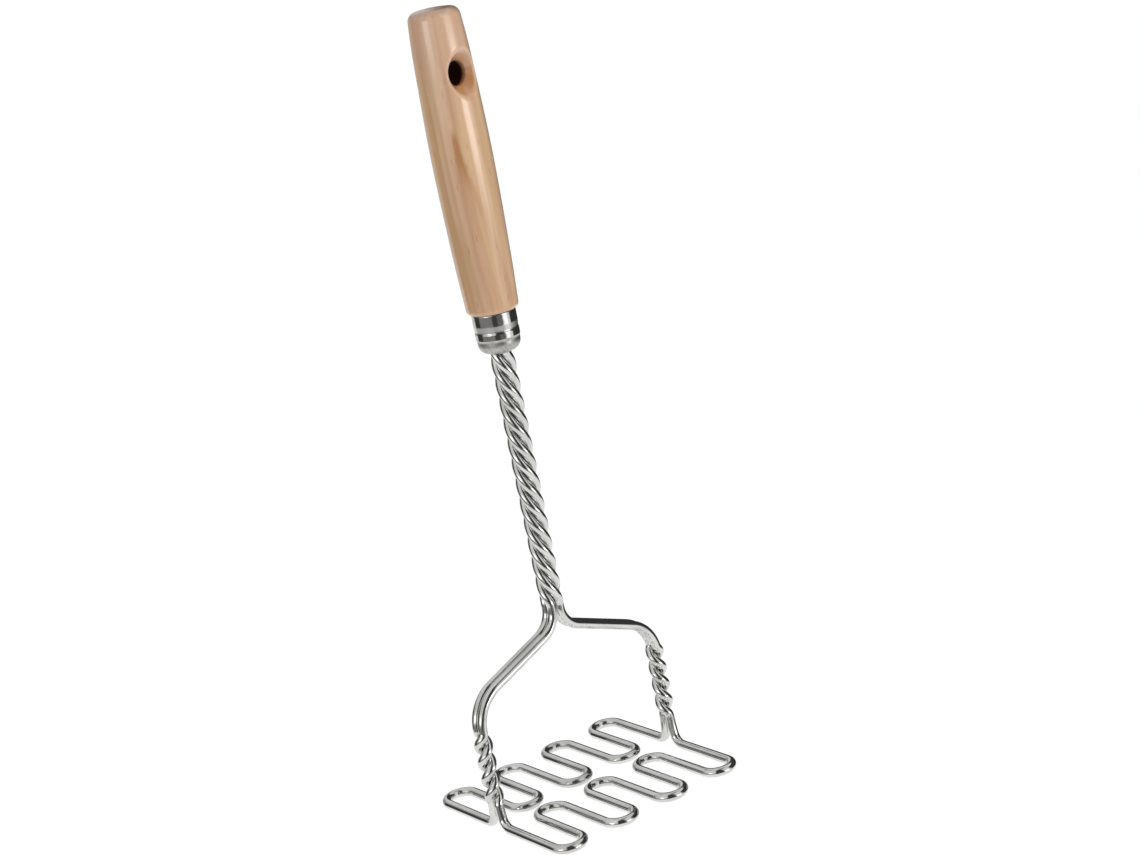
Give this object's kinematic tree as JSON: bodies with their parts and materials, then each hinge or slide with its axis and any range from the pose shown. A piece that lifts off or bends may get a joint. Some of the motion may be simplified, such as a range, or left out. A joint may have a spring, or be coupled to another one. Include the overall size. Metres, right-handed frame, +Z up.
{
  "type": "wire potato masher",
  "caption": "Wire masher: turned wooden handle with a hanging hole, metal ferrule, twisted wire shaft, two arms and legs, and a zigzag wire grid that presses food.",
  "frame": {"origin": "on the resting plane, under the middle of the two grids", "axes": "+Z up along the shaft and handle, +X from the left leg to the right leg, -Y towards the front grid"},
  "size_m": [0.082, 0.0752, 0.27],
  "materials": {
    "wood": "turned beech under clear lacquer",
    "ferrule": "drawn steel, bright nickel plate, softly burnished",
    "wire": "steel wire, bright nickel plate"
  },
  "bodies": {
    "root": {"handle": "wood", "ferrule": "ferrule", "front_wire_shaft_left": "wire", "front_wire_leg_left": "wire", "front_wire_shaft_right": "wire", "front_wire_leg_right": "wire", "front_wire_grid": "wire", "rear_wire_shaft_left": "wire", "rear_wire_leg_left": "wire", "rear_wire_shaft_right": "wire", "rear_wire_leg_right": "wire", "rear_wire_grid": "wire"}
  },
  "joints": []
}
